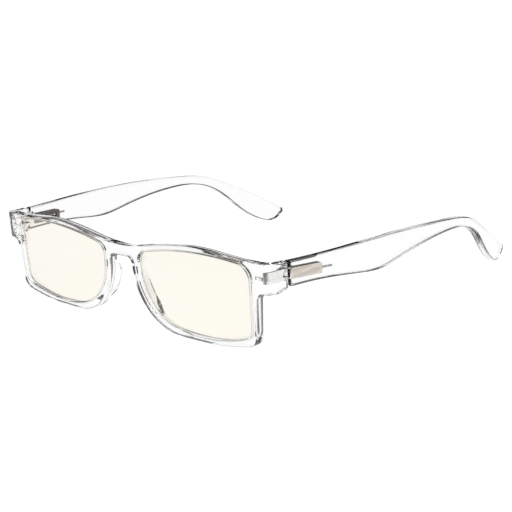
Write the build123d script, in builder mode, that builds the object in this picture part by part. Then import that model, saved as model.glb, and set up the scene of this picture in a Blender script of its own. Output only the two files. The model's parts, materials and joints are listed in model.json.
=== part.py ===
"""Rectangular reading glasses in clear moulded plastic, with a spring hinge at each side.

Millimetres. +Z is up, +X is the wearer's left-hand side, and the temples run towards +Y.
The glasses stand open on their lower rims and temple tips at Z = 0. Depths are distances
behind the front surface at the middle of the bridge. Pieces are modelled on the +X side.
"""
import os
from math import cos, radians, sin, tan

from build123d import *

os.makedirs("parts", exist_ok=True)

# ---------------------------------------------------------------- driving dimensions
front_y = -70.1          # where depth 0 lies
lean = 1.7               # the front leans forward at its top, degrees
front_radius = 945.0     # curve of the front in plan
rim_depth = 3.4          # front face to back face
top_corner = 31.0        # height of the end pieces
step_height = 21.0       # underside of the end pieces
seam_top, seam_bottom = 30.3, 21.9
rim_round, opening_round, back_round = 0.7, 0.5, 0.4

lens_centre = (34.4, 16.4)
lens_radius = 260.0      # base curve
lens_thickness = 1.8
face_form = 2.1          # turn of each lens about the vertical, degrees
lens_depth = 0.72        # front of the lens at its centre
bevel_width = 0.8        # how far the edge bevel reaches into the groove
bevel_start, bevel_end = 0.45, 1.35

pad_width = 2.2
pad_start, pad_root, pad_depth = 2.0, 2.9, 6.2   # in the rim, at its ends and at its thickest
pad_top, pad_middle, pad_bottom = 21.0, 13.5, 4.6

splay = 7.5              # the temples open outwards as they leave the front, degrees
pitch = 3.5              # and their metal parts run down towards the tips, degrees
hinge_x, hinge_depth, hinge_z = 65.1, 10.9, 26.0
outer_face = 4.1         # temple's outer face, outboard of the hinge axis
temple_thickness = 3.2
seam_gap = 0.55
seam_round = 1.2
temple_round = 0.8

knuckle_radius = 1.3
eyelet_height = 1.6
neck_height = 1.4
lug_height = 1.0
knuckle_gap = 0.05
pin_radius, bore_radius = 0.6, 0.65
head_radius, head_height = 0.95, 0.6
relief_radius = 1.65
plate_inner, plate_outer = 0.8, 1.8
plate_start, plate_end = -7.6, -1.7

# along the temple, behind the hinge axis
box_width, box_height, box_corner = 2.8, 3.6, 0.6
box_start, box_end = 1.9, 14.0
channel = 2.0            # square channel inside the spring box
channel_end = 12.9
slot_width, slot_end = 1.1, 12.4
guide_start, guide_end = 2.2, 5.1
slide_clearance = 0.04
plug_start, plug_end = 5.5, 6.7
nut_start, nut_end, nut_radius = 11.1, 12.1, 0.9
stem_radius, stem_bore = 0.5, 0.55
wire_radius, coil_radius, coils = 0.15, 0.75, 7
spring_gap = 0.03
anchor_radius, anchor_length, anchor_offset = 0.45, 4.2, 0.85

# ---------------------------------------------------------------- reference planes
hinge_y = front_y + hinge_depth
inner_face = outer_face - temple_thickness
box_x = inner_face + 0.1         # centre of the spring box, outboard of the hinge axis

up_plane = Plane(
    origin=(0, front_y, 0), x_dir=(1, 0, 0), z_dir=(0, -sin(radians(lean)), cos(radians(lean)))
)
front_plane = Plane(
    origin=(0, front_y, 0), x_dir=(1, 0, 0), z_dir=(0, -cos(radians(lean)), -sin(radians(lean)))
)
outward = Vector(cos(radians(splay)), -sin(radians(splay)), 0)
hinge_plane = Plane(origin=(hinge_x, hinge_y, hinge_z), x_dir=outward, z_dir=(0, 0, 1))
temple_plane = hinge_plane.rotated((-pitch, 0, 0))
# centred on the stem; sketch x is outboard, and extruding runs back along the temple
stem_plane = Plane(
    origin=temple_plane.from_local_coords((box_x, 0, 0)), x_dir=outward, z_dir=temple_plane.y_dir
)
# inner face of the spring box; sketch x runs back, and extruding runs inboard
slot_plane = Plane(
    origin=temple_plane.from_local_coords((box_x - box_width / 2, 0, 0)),
    x_dir=temple_plane.y_dir, z_dir=-outward,
)
floor_plane = Plane(origin=(0, front_y, 0))
temple_pitch = (0, cos(radians(pitch)), -sin(radians(pitch)))
# sketch x is depth and sketch y is height
side_plane = Plane(origin=(0, front_y, 0), x_dir=(0, 1, 0), z_dir=(1, 0, 0))


def hinge_point(outboard, behind):
    """Plan position (x, depth) of a point given from the hinge axis, along the splayed temple."""
    turn = radians(splay)
    return (
        hinge_x + outboard * cos(turn) + behind * sin(turn),
        hinge_depth - outboard * sin(turn) + behind * cos(turn),
    )


# ---------------------------------------------------------------- outlines
def lens_outline(margin=0.0):
    """The lens opening on the +X side, grown outwards by a margin."""
    top_inner, top_outer = (9.7, 26.6), (59.7, 28.9)
    bottom_outer, bottom_inner = (58.9, 5.9), (25.2, 3.1)
    with BuildSketch() as outline:
        with BuildLine():
            ThreePointArc(top_inner, (37.0, 30.3), top_outer)
            Line(top_outer, bottom_outer)
            bottom = ThreePointArc(bottom_outer, (40.0, 2.25), bottom_inner)
            TangentArc(bottom_inner, top_inner, tangent=bottom % 1)
        make_face()
        for corner, radius in ((top_inner, 3.2), (top_outer, 5.0), (bottom_outer, 3.4)):
            fillet(outline.vertices().sort_by_distance(corner)[0], radius)
        if margin:
            offset(amount=margin)
    return outline.sketch


def front_outline():
    """The +X half of the front's outside, from the middle of the bridge to the end piece."""
    nose_top, bridge_bottom = (5.9, 24.3), (0, 24.3)
    bottom_inner, bottom_outer, step = (25.5, 0.3), (61.1, 3.0), (62.6, step_height)
    with BuildSketch() as outline:
        with BuildLine():
            Spline((0, 28.5), (15, 30.1), (37, 32.4), (58, 31.1), tangents=((1, 0), (1, -0.03)))
            Polyline((58, 31.1), (72, top_corner), (72, step_height), step, bottom_outer)
            bottom = ThreePointArc(bottom_outer, (40.0, 0.15), bottom_inner)
            TangentArc(bottom_inner, nose_top, tangent=bottom % 1)
            Polyline(nose_top, bridge_bottom, (0, 28.5))
        make_face()
        for corner, radius in ((step, 2.8), (bottom_outer, 5.0), (nose_top, 2.6)):
            fillet(outline.vertices().sort_by_distance(corner)[0], radius)
    return outline.sketch


def shell(outer, inner):
    """Two concentric spheres about the lens's centre of curvature, outer less inner."""
    with BuildPart() as ball:
        with Locations(
            up_plane.from_local_coords(
                (
                    lens_centre[0] - lens_radius * sin(radians(face_form)),
                    lens_depth + lens_radius * cos(radians(face_form)),
                    lens_centre[1],
                )
            )
        ):
            Sphere(outer)
            Sphere(inner, mode=Mode.SUBTRACT)
    return ball.part


# ---------------------------------------------------------------- lenses
with BuildPart() as lens_left:
    with BuildSketch(front_plane):
        add(lens_outline())
    extrude(amount=8, dir=temple_pitch, both=True)
    add(shell(lens_radius, lens_radius - lens_thickness), mode=Mode.INTERSECT)
with BuildPart() as bevel:
    with BuildSketch(front_plane):
        add(lens_outline(bevel_width))
    extrude(amount=8, dir=temple_pitch, both=True)
    add(shell(lens_radius - bevel_start, lens_radius - bevel_end), mode=Mode.INTERSECT)
with lens_left:
    add(bevel.part)


# ---------------------------------------------------------------- hinge leaf and screw
leaf_top = eyelet_height / 2 + knuckle_gap + lug_height
with BuildPart() as hinge_leaf_left:
    with BuildSketch(hinge_plane.offset(-leaf_top)):
        with BuildLine():
            Polyline(
                (plate_inner, plate_start), (plate_outer, plate_start),
                (plate_outer, plate_end), (plate_inner, plate_end), close=True,
            )
        make_face()
    extrude(amount=2 * leaf_top)
    # a tongue anchors the leaf in the end piece
    with BuildSketch(hinge_plane.offset(-1.0)):
        with BuildLine():
            Polyline((1.0, plate_start), (-2.9, -7.3), (-2.9, -6.7), (1.0, -6.4), close=True)
        make_face()
    extrude(amount=1.0)
    for level in (-leaf_top, leaf_top - lug_height):
        with BuildSketch(hinge_plane.offset(level)):
            Circle(knuckle_radius)
            with Locations(((plate_outer - 0.6) / 2, -knuckle_radius)):
                Rectangle(plate_outer + 0.6, 2 * knuckle_radius)
        extrude(amount=lug_height)
    # the screw turns freely in the upper lug and is held in the lower one
    for radius, depth in ((bore_radius, leaf_top), (pin_radius, -leaf_top)):
        with BuildSketch(hinge_plane):
            Circle(radius)
        extrude(amount=depth, mode=Mode.SUBTRACT)

with BuildPart() as hinge_screw_left:
    with BuildSketch(hinge_plane.offset(-leaf_top)):
        Circle(pin_radius)
    extrude(amount=2 * leaf_top)
    with BuildSketch(hinge_plane.offset(leaf_top)):
        Circle(head_radius)
    extrude(amount=head_height)
    rim = hinge_screw_left.edges().group_by(Axis.Z)[-1]
    chamfer(rim, 0.15)
    with BuildSketch(hinge_plane.offset(leaf_top + head_height)):
        Rectangle(3 * head_radius, 0.3, rotation=35)
    extrude(amount=-0.35, mode=Mode.SUBTRACT)


# ---------------------------------------------------------------- front frame
# a crescent-shaped rib behind the nose side of the rim, thickest at mid height
with BuildPart() as nose_pad:
    with BuildSketch(front_plane.offset(-pad_start)):
        with BuildLine():
            ThreePointArc((7.1, pad_top + 0.5), (8.9, pad_middle), (18.7, pad_bottom - 1.2))
        trace(line_width=pad_width)
    extrude(amount=-(pad_depth - pad_start))
    with BuildSketch(side_plane):
        with BuildLine():
            ThreePointArc((pad_root, pad_top), (pad_depth, pad_middle), (pad_root, pad_bottom))
            Polyline((pad_root, pad_bottom), (0, pad_bottom), (0, pad_top), (pad_root, pad_top))
        make_face()
    extrude(amount=20, mode=Mode.INTERSECT)
    fillet(nose_pad.faces().sort_by(Axis.Y)[-1].edges(), 0.7)


def largest_face(part, facing):
    """The largest face that looks forwards (-1) or backwards (+1)."""
    return part.faces().filter_by(lambda face: face.normal_at().Y * facing > 0.9).sort_by(
        SortBy.AREA
    )[-1]


corner = (67.5, 2.4)
arm_root = hinge_point(inner_face, -5.2)
arm_start = 6.4
underside = step_height * cos(radians(lean)) - (
    arm_start + step_height * sin(radians(lean))
) * tan(radians(pitch))

# the +X half: a curved slab with an arm running back to the hinge
with BuildPart() as front_half:
    with BuildSketch(up_plane) as plan:
        with BuildLine():
            ThreePointArc((0, 0), (34, 34**2 / 2 / front_radius), corner)
            Polyline(corner, hinge_point(outer_face, 2), hinge_point(inner_face, 2), arm_root)
            ThreePointArc(arm_root, (34, rim_depth + 0.6), (0, rim_depth))
            Line((0, rim_depth), (0, 0))
        make_face()
        fillet(plan.vertices().sort_by_distance(corner)[0], 2.0)
        fillet(plan.vertices().sort_by_distance(arm_root)[0], 1.5)
    extrude(amount=40)
    # every edge of the front runs back along the same pitch
    with BuildSketch(front_plane):
        add(front_outline())
    extrude(amount=30, dir=temple_pitch, both=True, mode=Mode.INTERSECT)
    with BuildSketch(front_plane):
        add(lens_outline())
    extrude(amount=20, dir=temple_pitch, both=True, mode=Mode.SUBTRACT)
    # the arm narrows towards the seam along its underside
    with BuildSketch(side_plane.offset(64)):
        with BuildLine():
            Polyline(
                (arm_start, underside), (hinge_depth, seam_bottom), (16, seam_bottom + 1.5),
                (16, 9), (arm_start, 9), close=True,
            )
        make_face()
    extrude(amount=20, mode=Mode.SUBTRACT)
    with BuildSketch(hinge_plane.offset(-20)):
        with Locations((0, 10 - seam_gap / 2)):
            Rectangle(30, 20)
    extrude(amount=40, mode=Mode.SUBTRACT)

    # rounded edges: seam, outside and arm, lens opening, back
    fillet(
        front_half.edges().filter_by(lambda edge: abs((edge % 0.5).Z) > 0.9).sort_by(Axis.X)[-1],
        seam_round,
    )
    outside = largest_face(front_half, -1).outer_wire().edges().filter_by(
        lambda edge: edge.center().X > 0.01
    )
    arm = front_half.edges().filter_by(
        lambda edge: edge.center().X > 67
        and edge.center().Y < hinge_y - 2
        and abs((edge % 0.5).Z) < 0.9
    )
    fillet(outside + arm, rim_round)
    for facing in (-1, 1):
        fillet(largest_face(front_half, facing).inner_wires().edges(), opening_round)
    fillet(
        largest_face(front_half, 1).outer_wire().edges().filter_by(
            lambda edge: 0.01 < edge.center().X < 63.5
        ),
        back_round,
    )

    add(nose_pad.part)

    # lens groove, hinge leaf pocket and room for the knuckle
    add(bevel.part, mode=Mode.SUBTRACT)
    add(hinge_leaf_left.part, mode=Mode.SUBTRACT)
    with BuildSketch(hinge_plane.offset(-leaf_top - 0.25)):
        Circle(relief_radius)
    extrude(amount=2 * leaf_top + head_height + 0.5, mode=Mode.SUBTRACT)

with BuildPart() as front_frame:
    add(front_half.part)
    mirror(front_half.part, about=Plane.YZ)


# ---------------------------------------------------------------- spring hinge
with BuildPart() as hinge_eyelet_left:
    with BuildSketch(hinge_plane.offset(-eyelet_height / 2)):
        Circle(knuckle_radius)
    extrude(amount=eyelet_height)
    guide_half = channel / 2 - slide_clearance
    with BuildSketch(temple_plane.offset(-neck_height / 2)):
        with BuildLine():
            Polyline(
                (1.1, 0.5), (box_x + guide_half, 1.5), (box_x + guide_half, guide_start + 0.2),
                (box_x - guide_half, guide_start + 0.2), (box_x - guide_half, 1.7), (-0.9, 0.6),
                close=True,
            )
        make_face()
    extrude(amount=neck_height)
    with BuildSketch(stem_plane.offset(guide_start)):
        Rectangle(2 * guide_half, 2 * guide_half)
    extrude(amount=guide_end - guide_start)
    with BuildSketch(stem_plane.offset(guide_end)):
        Circle(stem_radius)
    extrude(amount=nut_end - guide_end)
    with BuildSketch(hinge_plane.offset(-eyelet_height / 2)):
        Circle(bore_radius)
    extrude(amount=eyelet_height, mode=Mode.SUBTRACT)

with BuildPart() as stem_nut_left:
    with BuildSketch(stem_plane.offset(nut_start)):
        Circle(nut_radius)
        Circle(stem_radius, mode=Mode.SUBTRACT)
    extrude(amount=nut_end - nut_start)

with BuildPart() as stop_plug_left:
    with BuildSketch(stem_plane.offset(plug_start)):
        Rectangle(channel, channel)
        Circle(stem_bore, mode=Mode.SUBTRACT)
    extrude(amount=plug_end - plug_start)

coil_start = plug_end + wire_radius + spring_gap
coil_length = nut_start - wire_radius - spring_gap - coil_start
with BuildPart() as spring_left:
    with BuildLine() as coil:
        Helix(
            pitch=coil_length / coils, height=coil_length, radius=coil_radius,
            center=stem_plane.from_local_coords((0, 0, coil_start)), direction=stem_plane.z_dir,
        )
    with BuildSketch(Plane(origin=coil.line @ 0, z_dir=coil.line % 0)):
        Circle(wire_radius)
    sweep(path=coil.line, is_frenet=True)

with BuildPart() as box_blank:
    with BuildSketch(stem_plane.offset(box_start)):
        Rectangle(box_width, box_height)
    extrude(amount=box_end - box_start)
    # rear end rounded as seen from inside the temple
    fillet(box_blank.faces().sort_by(Axis.Y)[-1].edges().filter_by(
        lambda edge: abs((edge % 0.5).Z) < 0.5
    ), box_corner)

with BuildPart() as spring_box_left:
    add(box_blank.part)
    with BuildSketch(stem_plane.offset(box_start)):
        Rectangle(channel, channel)
    extrude(amount=channel_end - box_start, mode=Mode.SUBTRACT)
    with BuildSketch(slot_plane):
        with Locations(((box_start + slot_end - slot_width / 2) / 2, 0)):
            Rectangle(slot_end - slot_width / 2 - box_start, slot_width)
        with Locations((slot_end - slot_width / 2, 0)):
            Circle(slot_width / 2)
    extrude(amount=-box_width / 2, mode=Mode.SUBTRACT)

with BuildPart() as anchor_pin_left:
    with BuildSketch(stem_plane.offset(box_end)):
        with Locations((anchor_offset, 0)):
            Circle(anchor_radius)
    extrude(amount=anchor_length)


# ---------------------------------------------------------------- temple
band_x = outer_face - temple_thickness / 2
with BuildPart() as temple_left:
    with BuildSketch(floor_plane):
        with BuildLine():
            straight = Line(hinge_point(band_x, seam_gap / 2), hinge_point(band_x, 17))
            Spline(
                straight @ 1, (71.4, 58), (70.4, 88), (69.0, 101), (65.8, 114.5), (61.6, 128),
                (57.2, 145), tangents=(straight % 1, (-0.25, 1)),
            )
        trace(line_width=temple_thickness)
    extrude(amount=34, both=True)
    with BuildSketch(side_plane.offset(50)):
        with BuildLine():
            top_start = (8, seam_top + (hinge_depth - 8) * tan(radians(pitch)))
            top = Spline(
                top_start, (hinge_depth, seam_top), (35, 29.9), (62, 29.3), (88, 27.3), (104, 24.6),
                (116, 19.3), (130, 11.3), (139.9, 5.0),
            )
            tip = ThreePointArc(top @ 1, (140.5, 3.6), (139.5, 2.4))
            bottom = Spline(
                tip @ 1, (134.3, 0.03), (130.5, 1.0), (121, 7.1), (111, 16.6), (101, 21.6),
                (88, 22.9), (75, 22.2), (60, 20.1), (50, 18.8), (41, 19.6), (27, 21.3),
                (hinge_depth, seam_bottom), (8, seam_bottom),
            )
            Line(bottom @ 1, top_start)
        make_face()
    extrude(amount=30, mode=Mode.INTERSECT)
    fillet(temple_left.faces().sort_by(Axis.Y)[0].edges().sort_by(Axis.X)[-1], seam_round)
    seam = temple_left.faces().sort_by(Axis.Y)[0]
    fillet(temple_left.edges() - seam.edges(), temple_round)
    # pockets for the spring box and its anchor pin, the neck's passage and the knuckle's room
    add(box_blank.part, mode=Mode.SUBTRACT)
    add(anchor_pin_left.part, mode=Mode.SUBTRACT)
    with BuildSketch(stem_plane):
        Rectangle(channel + 0.6, channel + 0.6)
    extrude(amount=box_start, mode=Mode.SUBTRACT)
    with BuildSketch(hinge_plane.offset(-leaf_top - 0.25)):
        Circle(relief_radius)
    extrude(amount=2 * leaf_top + head_height + 0.5, mode=Mode.SUBTRACT)


# ---------------------------------------------------------------- both sides
front_frame.part.label = "front_frame"
export_step(front_frame.part, "parts/front_frame.step")

for name, piece in (
    ("lens", lens_left),
    ("hinge_leaf", hinge_leaf_left),
    ("hinge_screw", hinge_screw_left),
    ("hinge_eyelet", hinge_eyelet_left),
    ("stem_nut", stem_nut_left),
    ("stop_plug", stop_plug_left),
    ("spring", spring_left),
    ("spring_box", spring_box_left),
    ("anchor_pin", anchor_pin_left),
    ("temple", temple_left),
):
    piece.part.label = f"{name}_left"
    export_step(piece.part, f"parts/{name}_left.step")
    with BuildPart() as twin:
        mirror(piece.part, about=Plane.YZ)
    twin.part.label = f"{name}_right"
    export_step(twin.part, f"parts/{name}_right.step")
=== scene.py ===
"""Clear plastic glasses with pale tinted lenses, standing open on a pale floor."""
import json

import bpy
from mathutils import Matrix, Vector


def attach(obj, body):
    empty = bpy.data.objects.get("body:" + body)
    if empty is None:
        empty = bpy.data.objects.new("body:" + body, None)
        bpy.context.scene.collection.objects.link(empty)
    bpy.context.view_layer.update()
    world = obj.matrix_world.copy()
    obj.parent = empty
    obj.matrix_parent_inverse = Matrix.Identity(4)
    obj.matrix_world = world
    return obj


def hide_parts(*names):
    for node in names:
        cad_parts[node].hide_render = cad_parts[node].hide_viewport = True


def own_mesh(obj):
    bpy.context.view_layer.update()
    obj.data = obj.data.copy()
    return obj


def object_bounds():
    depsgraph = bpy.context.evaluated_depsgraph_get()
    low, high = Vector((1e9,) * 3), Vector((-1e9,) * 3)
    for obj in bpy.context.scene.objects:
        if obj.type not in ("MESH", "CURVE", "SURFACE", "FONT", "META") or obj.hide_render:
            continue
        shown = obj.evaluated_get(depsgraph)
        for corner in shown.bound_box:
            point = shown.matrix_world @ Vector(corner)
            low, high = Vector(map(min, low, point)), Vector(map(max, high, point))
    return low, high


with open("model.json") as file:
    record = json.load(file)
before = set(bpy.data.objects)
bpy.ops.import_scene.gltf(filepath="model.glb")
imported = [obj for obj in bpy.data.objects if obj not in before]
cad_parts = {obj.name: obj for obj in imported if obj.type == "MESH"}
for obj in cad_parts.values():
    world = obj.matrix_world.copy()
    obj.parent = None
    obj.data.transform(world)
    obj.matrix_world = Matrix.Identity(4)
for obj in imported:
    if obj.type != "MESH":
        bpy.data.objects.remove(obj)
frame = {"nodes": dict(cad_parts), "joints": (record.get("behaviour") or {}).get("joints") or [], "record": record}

cad_low, cad_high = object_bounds()
MM = 0.001
nodes = frame["nodes"]
slots = {part["node"]: part["material_slot"] for part in frame["record"]["subparts"]}
scene = bpy.context.scene

FIT_GAP = 0.02 * MM         # air between a fitted piece and the plastic round it
FACE_SLOPE = 0.75           # a lens's front and back point at least this much forwards or back
GROUND_ROUGHNESS = 0.55     # added round the lens's edge
INWARD_SLOPE = -0.6         # a face that looks inwards points at least this much inwards
NOISE_MIDDLE = 0.3, 0.7     # where most of a noise's values lie
BLEND_MIDDLE = 0.35, 0.65

# sizes of surface detail, in patches per metre
RESIN_FLOW, LENS_FLOW = 90, 30
HANDLING_HAZE = 450
METAL_TONE, METAL_GRAIN = 700, 1800

EVEN = (1, 1, 1)
ALONG_FLOW = (1, 0.4, 1)    # drawn out front to back
BRUSHED = (1, 0.15, 1)


# ---------------------------------------------------------------- shader nodes
def new_material(name):
    """A new material, with its node tree and its Principled shader."""
    material = bpy.data.materials.new(name)
    material.use_nodes = True
    tree = material.node_tree
    return material, tree, tree.nodes["Principled BSDF"]


def calculate(tree, operation, *values):
    """The result of a Math node; each value is a number or another node's output."""
    node = tree.nodes.new("ShaderNodeMath")
    node.operation = operation
    for socket, value in zip(node.inputs, values):
        if isinstance(value, bpy.types.NodeSocket):
            tree.links.new(value, socket)
        else:
            socket.default_value = value
    return node.outputs["Value"]


def axis_value(tree, output, axis):
    """One axis of a texture coordinate, such as the object's own position or normal."""
    coordinates = tree.nodes.new("ShaderNodeTexCoord")
    axes = tree.nodes.new("ShaderNodeSeparateXYZ")
    tree.links.new(coordinates.outputs[output], axes.inputs["Vector"])
    return axes.outputs[axis]


def noise(tree, scale, detail=3.0, stretch=EVEN):
    """Noise in the object's own space; scale is in patches per metre."""
    coordinates = tree.nodes.new("ShaderNodeTexCoord")
    mapping = tree.nodes.new("ShaderNodeMapping")
    mapping.inputs["Scale"].default_value = stretch
    texture = tree.nodes.new("ShaderNodeTexNoise")
    texture.inputs["Scale"].default_value = scale
    texture.inputs["Detail"].default_value = detail
    tree.links.new(coordinates.outputs["Object"], mapping.inputs["Vector"])
    tree.links.new(mapping.outputs["Vector"], texture.inputs["Vector"])
    return texture.outputs["Fac"]


def spread(tree, value, low, high):
    """Noise's middle range mapped to low to high."""
    node = tree.nodes.new("ShaderNodeMapRange")
    limits = zip(("From Min", "From Max", "To Min", "To Max"), (*NOISE_MIDDLE, low, high))
    for socket, limit in limits:
        node.inputs[socket].default_value = limit
    tree.links.new(value, node.inputs["Value"])
    return node.outputs["Result"]


def blend_colours(tree, value, first, second):
    """A colour between two, by noise."""
    ramp = tree.nodes.new("ShaderNodeValToRGB")
    for stop, position, colour in zip(ramp.color_ramp.elements, BLEND_MIDDLE, (first, second)):
        stop.position = position
        stop.color = (*colour, 1)
    tree.links.new(value, ramp.inputs["Fac"])
    return ramp.outputs["Color"]


def bump(tree, shader, height, distance):
    """Relief from a height between 0 and 1."""
    node = tree.nodes.new("ShaderNodeBump")
    node.inputs["Distance"].default_value = distance
    node.inputs["Strength"].default_value = 1.0
    tree.links.new(height, node.inputs["Height"])
    tree.links.new(node.outputs["Normal"], shader.inputs["Normal"])


# ---------------------------------------------------------------- materials
def ground_edge(tree, roughness):
    """A lens's roughness: its own on the front and back, and ground matt round the edge."""
    facing = calculate(tree, "ABSOLUTE", axis_value(tree, "Normal", "Y"))
    edge = calculate(tree, "LESS_THAN", facing, FACE_SLOPE)
    return calculate(tree, "MULTIPLY_ADD", edge, GROUND_ROUGHNESS, roughness)


def painted_reflection_mask(tree):
    """1 on faces that look towards the middle of the object, from either side, and 0 elsewhere; this places the
    painted dark reflection.
    """
    side = calculate(tree, "SIGN", axis_value(tree, "Object", "X"))
    outwards = calculate(tree, "MULTIPLY", side, axis_value(tree, "Normal", "X"))
    return calculate(tree, "LESS_THAN", outwards, INWARD_SLOPE)


def clear_material(name, shade, deeper_shade, ior, flow_scale, flow_depth, haze, ground=False):
    """Clear moulded plastic: faint tint changes, flow ripples and fine handling haze."""
    material, tree, shader = new_material(name)
    shader.inputs["Transmission Weight"].default_value = 1.0
    shader.inputs["IOR"].default_value = ior
    flow = noise(tree, flow_scale, 2.0, ALONG_FLOW)
    tree.links.new(blend_colours(tree, flow, deeper_shade, shade), shader.inputs["Base Color"])
    roughness = spread(tree, noise(tree, HANDLING_HAZE), 0.0, haze)
    if ground:
        roughness = ground_edge(tree, roughness)
    tree.links.new(roughness, shader.inputs["Roughness"])
    bump(tree, shader, flow, flow_depth)
    return material


def metal(name, colour, roughness, grain=EVEN, depth=0.01 * MM, worn=0.72, painted_reflection_colour=None):
    """Metal with uneven tone, brushed or tumbled grain and patchy roughness, and optionally a dark painted
    reflection on the faces that look inwards.
    """
    material, tree, shader = new_material(name)
    shader.inputs["Metallic"].default_value = 1.0
    tone = noise(tree, METAL_TONE, 4.0, grain)
    darker = tuple(worn * channel for channel in colour)
    base = blend_colours(tree, tone, darker, colour)
    # painted reflection: faces that look inwards get a dark colour that stands in for the dark studio they would
    # reflect
    if painted_reflection_colour:
        lighter = tuple(1.6 * channel for channel in painted_reflection_colour)
        mix = tree.nodes.new("ShaderNodeMix")
        mix.data_type = "RGBA"
        tree.links.new(painted_reflection_mask(tree), mix.inputs["Factor"])
        tree.links.new(base, mix.inputs["A"])
        tree.links.new(blend_colours(tree, tone, painted_reflection_colour, lighter), mix.inputs["B"])
        base = mix.outputs["Result"]
    tree.links.new(base, shader.inputs["Base Color"])
    patches = noise(tree, METAL_GRAIN, 2.0, grain)
    patchy = spread(tree, patches, 0.7 * roughness, 1.4 * roughness)
    tree.links.new(patchy, shader.inputs["Roughness"])
    bump(tree, shader, tone, depth)
    return material


materials = {
    "clear_plastic": clear_material(
        "clear_plastic", (0.94, 0.94, 0.945), (0.925, 0.927, 0.93),
        ior=1.49, flow_scale=RESIN_FLOW, flow_depth=0.004 * MM, haze=0.02,
    ),
    "tinted_lens": clear_material(
        "tinted_lens", (0.918, 0.89, 0.812), (0.912, 0.884, 0.804),
        ior=1.5, flow_scale=LENS_FLOW, flow_depth=0.001 * MM, haze=0.008, ground=True,
    ),
    "nickel_silver": metal(
        # painted reflection: the inward faces of the nickel silver are painted dark
        "nickel_silver", (0.84, 0.76, 0.66), 0.2, BRUSHED, painted_reflection_colour=(0.1, 0.095, 0.09)
    ),
    "polished_nickel": metal("polished_nickel", (0.96, 0.95, 0.935), 0.1, BRUSHED, worn=0.9),
    "screw_steel": metal("screw_steel", (0.85, 0.83, 0.81), 0.16),
    "spring_steel": metal("spring_steel", (0.55, 0.53, 0.5), 0.3),
}

for name, node in nodes.items():
    polished = name.startswith(("hinge_leaf", "hinge_eyelet"))
    finish = materials["polished_nickel" if polished else slots[name]]
    for index in range(len(node.material_slots)):
        node.material_slots[index].material = finish
    if slots[name] in ("clear_plastic", "tinted_lens"):
        node.visible_shadow = False
    if slots[name] != "clear_plastic":
        shrink = node.modifiers.new("fit_gap", "DISPLACE")
        shrink.strength = -FIT_GAP
        shrink.mid_level = 0.0


# ---------------------------------------------------------------- coil springs
def pressed_coil(slide):
    """A copy of a coil spring, attached to the body that its temple slides with, in place of the hidden original.
    """
    side = slide["name"].removeprefix("slide_")
    node = nodes[f"spring_{side}"]
    coil = bpy.data.objects.new(f"coil_spring_{side}", node.data.copy())
    scene.collection.objects.link(coil)
    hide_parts(node.name)
    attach(coil, slide["child"])
    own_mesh(coil)


for joint in frame["joints"]:
    if joint["type"] == "slide":
        pressed_coil(joint)


# ---------------------------------------------------------------- floor
FLOOR_HALF = 6.0
FLOOR_GAP = 0.2 * MM
FLOOR_SHADE = (0.15, 0.15, 0.15, 1)
FLOOR_GLOW = 0.93           # the floor is lit from within, as a light table is

floor_mesh = bpy.data.meshes.new("floor")
floor_mesh.from_pydata(
    [(-FLOOR_HALF, -FLOOR_HALF, 0), (FLOOR_HALF, -FLOOR_HALF, 0),
     (FLOOR_HALF, FLOOR_HALF, 0), (-FLOOR_HALF, FLOOR_HALF, 0)],
    [], [(0, 1, 2, 3)],
)
floor = bpy.data.objects.new("floor", floor_mesh)
floor.location.z = cad_low.z - FLOOR_GAP
scene.collection.objects.link(floor)
material, tree, shader = new_material("floor")
shader.inputs["Base Color"].default_value = FLOOR_SHADE
shader.inputs["Roughness"].default_value = 0.9
shader.inputs["Specular IOR Level"].default_value = 0.0
shader.inputs["Emission Color"].default_value = (1, 1, 1, 1)
shader.inputs["Emission Strength"].default_value = FLOOR_GLOW
floor_mesh.materials.append(material)

# ---------------------------------------------------------------- studio light
# the studio is white near the floor and overhead, and dark between, by the height of the view's direction
WHITE, DARK = 1.04, 0.03
STUDIO_BAND = (0.06, WHITE), (0.11, DARK), (0.6, DARK), (0.8, WHITE)

world = bpy.data.worlds.new("studio")
scene.world = world
world.use_nodes = True
tree = world.node_tree
ramp = tree.nodes.new("ShaderNodeValToRGB")
stops = ramp.color_ramp.elements
for height, brightness in STUDIO_BAND:
    stops.new(height).color = (brightness, brightness, brightness, 1)
stops.remove(stops[-1])
stops.remove(stops[0])
background = tree.nodes["Background"]
tree.links.new(axis_value(tree, "Generated", "Z"), ramp.inputs["Fac"])
tree.links.new(ramp.outputs["Color"], background.inputs["Color"])
background.inputs["Strength"].default_value = 1.0

softbox = bpy.data.lights.new("key", "AREA")
softbox.shape = "RECTANGLE"
softbox.size, softbox.size_y = 0.4, 0.4
softbox.energy = 4
key = bpy.data.objects.new("key", softbox)
key.location = (0.5, -0.2, 0.8)
key.rotation_euler = (-key.location).to_track_quat("-Z", "Y").to_euler()
scene.collection.objects.link(key)

# ---------------------------------------------------------------- camera
CAMERA_PLACE = (0.33642, -0.34053, 0.13906)
CAMERA_RIGHT = Vector((0.7154, 0.6966, -0.0549))
CAMERA_UP = Vector((-0.1471, 0.2269, 0.9627))
CAMERA_AHEAD = Vector((-0.6831, 0.6807, -0.2648))

camera = bpy.data.objects.new("camera", bpy.data.cameras.new("camera"))
camera.matrix_world = (
    Matrix.Translation(CAMERA_PLACE)
    @ Matrix((CAMERA_RIGHT, CAMERA_UP, -CAMERA_AHEAD)).transposed().to_4x4()
)
camera.data.lens = 91.5
camera.data.sensor_width = 36
camera.data.clip_start, camera.data.clip_end = 0.01, 20
scene.collection.objects.link(camera)
scene.camera = camera
scene.view_settings.view_transform = "Standard"
